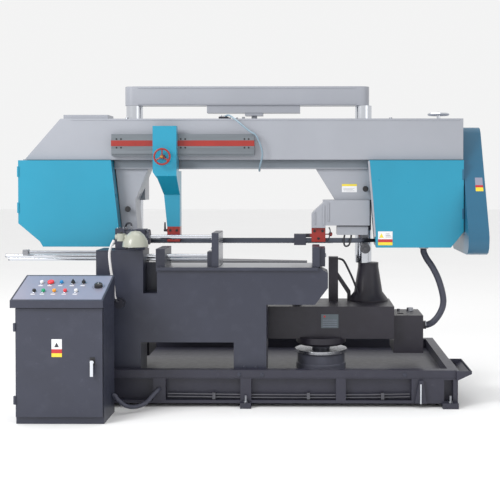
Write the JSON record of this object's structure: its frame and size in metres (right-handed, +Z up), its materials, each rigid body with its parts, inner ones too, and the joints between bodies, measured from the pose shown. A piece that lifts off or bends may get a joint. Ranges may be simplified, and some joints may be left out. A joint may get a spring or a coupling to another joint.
{
  "type": "band saw",
  "caption": "double-column horizontal band saw with a swivelling bow, hydraulic vise, wheel covers, coolant tray and separate control cabinet",
  "frame": {"origin": "on the floor, under the middle of the machine's footprint", "axes": "+X runs along the blade to the operator's right, +Y away from the operator, +Z up"},
  "size_m": [3.14, 1.72, 2.092],
  "materials": {
    "cap_black": "moulded plastic button cap",
    "cap_blue": "moulded plastic button cap",
    "cap_green": "moulded plastic button cap",
    "cap_orange": "moulded plastic button cap",
    "cap_signal_red": "moulded plastic button cap",
    "cap_white": "moulded plastic button cap",
    "chrome": "hard-chromed, polished",
    "cyan": "gloss turquoise paint",
    "dark": "satin near-black paint",
    "iron": "machined cast iron",
    "light": "semi-gloss light grey paint",
    "panel": "satin lavender-grey enamel",
    "red": "gloss red paint",
    "rubber": "matt black rubber",
    "slate": "semi-gloss dark slate paint",
    "steel": "machined steel",
    "teal": "gloss dark teal paint"
  },
  "bodies": {
    "root": {"base_frame": "slate", "base_pipes": "steel", "vise_bed": "slate", "fixed_jaw": "slate", "vise_cylinder": "dark", "length_stop_bar": "steel", "lamp_stand": "light", "turntable_base": "iron", "cabinet_body": "slate", "console": "panel", "cabinet_conduit": "rubber"},
    "lamp": {"lamp_head": "light"},
    "jaw": {"moving_jaw": "slate", "piston_rod": "chrome", "guide_rod_upper": "steel", "guide_rod_lower": "steel"},
    "door": {"cabinet_door": "slate"},
    "handle": {"door_handle": "chrome"},
    "swing": {"swing_arm": "slate", "column_left": "chrome", "column_right": "chrome", "crossbeam": "light", "hydraulic_tank": "dark", "rear_table": "slate"},
    "bow": {"bow_frame": "light", "lift_cylinder": "dark", "guide_rail": "steel", "guide_arm_right": "light", "guide_block_right": "red", "saw_blade": "steel", "gearbox": "dark", "drive_motor": "slate", "belt_guard": "teal", "drive_belt": "rubber", "coolant_hose": "rubber", "bow_conduit": "rubber"},
    "guide": {"guide_arm_left": "cyan", "guide_block_left": "red"},
    "clamp_wheel": {"clamp_handwheel": "red"},
    "top_wheel": {"top_handwheel": "chrome"},
    "drive": {"drive_wheel": "iron"},
    "idler": {"idler_wheel": "iron"},
    "worm_pulley": {"gearbox_pulley": "iron"},
    "motor_shaft": {"motor_pulley": "iron"},
    "brush": {"chip_brush": "dark"},
    "left_cover": {"cover_left": "cyan"},
    "right_cover": {"cover_right": "cyan"},
    "left_latch": {"latch_left": "cap_black"},
    "right_latch": {"latch_right": "cap_black"},
    "knob": {"speed_knob": "cap_black"},
    "button_white_body": {"button_white": "cap_white"},
    "emergency_stop_body": {"emergency_stop": "cap_signal_red"},
    "button_blue_body": {"button_blue": "cap_blue"},
    "selector_mode_body": {"selector_mode": "cap_black"},
    "selector_pump_body": {"selector_pump": "cap_black"},
    "button_black_body": {"button_black": "cap_black"},
    "button_green_body": {"button_green": "cap_green"},
    "button_orange_body": {"button_orange": "cap_orange"},
    "button_red_body": {"button_red": "cap_signal_red"},
    "button_start_body": {"button_start": "cap_white"}
  },
  "joints": [
    {"name": "arm_swing", "type": "hinge", "parent": "root", "child": "swing", "pos_m": [0.485, 0.06, 0.375], "axis": [0, 0, 1], "range_deg": [-45, 0]},
    {"name": "bow_lift", "type": "slide", "parent": "swing", "child": "bow", "axis": [0, 0, 1], "range_m": [-0.14, 0.05], "deforming": ["bow_conduit"]},
    {"name": "guide_arm_slide", "type": "slide", "parent": "bow", "child": "guide", "axis": [1, 0, 0], "range_m": [-0.05, 0.38]},
    {"name": "clamp_handwheel_turn", "type": "hinge", "parent": "guide", "child": "clamp_wheel", "pos_m": [-0.556, -0.186, 1.592], "axis": [0, 1, 0], "range_deg": [-360, 360]},
    {"name": "top_handwheel_turn", "type": "hinge", "parent": "bow", "child": "top_wheel", "pos_m": [1.285, 0.11, 1.886], "axis": [0, 0, 1], "range_deg": [-360, 360]},
    {"name": "drive_wheel_spin", "type": "hinge", "parent": "bow", "child": "drive", "pos_m": [1.13, 0.06, 1.293], "axis": [0, 1, 0], "continuous": true},
    {"name": "idler_wheel_spin", "type": "hinge", "parent": "bow", "child": "idler", "pos_m": [-1.21, 0.06, 1.293], "axis": [0, 1, 0], "continuous": true},
    {"name": "gearbox_pulley_spin", "type": "hinge", "parent": "bow", "child": "worm_pulley", "pos_m": [1.495, 0.34, 1.16], "axis": [1, 0, 0], "continuous": true},
    {"name": "motor_pulley_spin", "type": "hinge", "parent": "bow", "child": "motor_shaft", "pos_m": [1.495, 0.37, 1.7], "axis": [1, 0, 0], "continuous": true},
    {"name": "chip_brush_spin", "type": "hinge", "parent": "bow", "child": "brush", "pos_m": [0.785, 0.06, 0.975], "axis": [0, 1, 0], "continuous": true},
    {"name": "left_cover_hinge", "type": "hinge", "parent": "bow", "child": "left_cover", "pos_m": [-1.536, -0.07, 1.28], "axis": [0, 0, -1], "range_deg": [0, 100]},
    {"name": "right_cover_hinge", "type": "hinge", "parent": "bow", "child": "right_cover", "pos_m": [1.4325, -0.07, 1.28], "axis": [0, 0, 1], "range_deg": [0, 85]},
    {"name": "left_latch_turn", "type": "hinge", "parent": "bow", "child": "left_latch", "pos_m": [-0.815, 0.01, 1.244], "axis": [0, 1, 0], "range_deg": [0, 180]},
    {"name": "right_latch_turn", "type": "hinge", "parent": "bow", "child": "right_latch", "pos_m": [0.782, 0.01, 1.38], "axis": [0, 1, 0], "range_deg": [0, 180]},
    {"name": "moving_jaw_slide", "type": "slide", "parent": "root", "child": "jaw", "axis": [1, 0, 0], "range_m": [-0.005, 0.18]},
    {"name": "cabinet_door_hinge", "type": "hinge", "parent": "root", "child": "door", "pos_m": [-1.325, -0.83, 0.35], "axis": [0, 0, -1], "range_deg": [0, 110]},
    {"name": "door_handle_turn", "type": "hinge", "parent": "door", "child": "handle", "pos_m": [-0.867, -0.83, 0.372], "axis": [0, 1, 0], "range_deg": [0, 90]},
    {"name": "lamp_head_tilt", "type": "hinge", "parent": "root", "child": "lamp", "pos_m": [-0.825, -0.41, 1.08], "axis": [0, 1, 0], "range_deg": [-15, 15]},
    {"name": "speed_knob_turn", "type": "hinge", "parent": "root", "child": "knob", "pos_m": [-0.865, -0.6732, 0.7948], "axis": [0, -0.3204, 0.9473], "range_deg": [-135, 135]},
    {"name": "button_white_press", "type": "slide", "parent": "root", "child": "button_white_body", "axis": [0, 0.3204, -0.9473], "range_m": [0, 0.004], "stiffness_N_per_m": 500},
    {"name": "emergency_stop_press", "type": "slide", "parent": "root", "child": "emergency_stop_body", "axis": [0, 0.3204, -0.9473], "range_m": [0, 0.004], "stiffness_N_per_m": 500},
    {"name": "button_blue_press", "type": "slide", "parent": "root", "child": "button_blue_body", "axis": [0, 0.3204, -0.9473], "range_m": [0, 0.004], "stiffness_N_per_m": 500},
    {"name": "selector_mode_turn", "type": "hinge", "parent": "root", "child": "selector_mode_body", "pos_m": [-1.03, -0.6256, 0.8109], "axis": [0, -0.3204, 0.9473], "range_deg": [-45, 45]},
    {"name": "selector_pump_turn", "type": "hinge", "parent": "root", "child": "selector_pump_body", "pos_m": [-0.965, -0.6256, 0.8109], "axis": [0, -0.3204, 0.9473], "range_deg": [-45, 45]},
    {"name": "button_black_press", "type": "slide", "parent": "root", "child": "button_black_body", "axis": [0, 0.3204, -0.9473], "range_m": [0, 0.004], "stiffness_N_per_m": 500},
    {"name": "button_green_press", "type": "slide", "parent": "root", "child": "button_green_body", "axis": [0, 0.3204, -0.9473], "range_m": [0, 0.004], "stiffness_N_per_m": 500},
    {"name": "button_orange_press", "type": "slide", "parent": "root", "child": "button_orange_body", "axis": [0, 0.3204, -0.9473], "range_m": [0, 0.004], "stiffness_N_per_m": 500},
    {"name": "button_red_press", "type": "slide", "parent": "root", "child": "button_red_body", "axis": [0, 0.3204, -0.9473], "range_m": [0, 0.004], "stiffness_N_per_m": 500},
    {"name": "button_start_press", "type": "slide", "parent": "root", "child": "button_start_body", "axis": [0, 0.3204, -0.9473], "range_m": [0, 0.004], "stiffness_N_per_m": 500}
  ],
  "couplings": [
    {"joint": "idler_wheel_spin", "follows": "drive_wheel_spin", "ratio": 1},
    {"joint": "gearbox_pulley_spin", "follows": "drive_wheel_spin", "ratio": 20},
    {"joint": "motor_pulley_spin", "follows": "drive_wheel_spin", "ratio": 45},
    {"joint": "chip_brush_spin", "follows": "drive_wheel_spin", "ratio": 4}
  ]
}
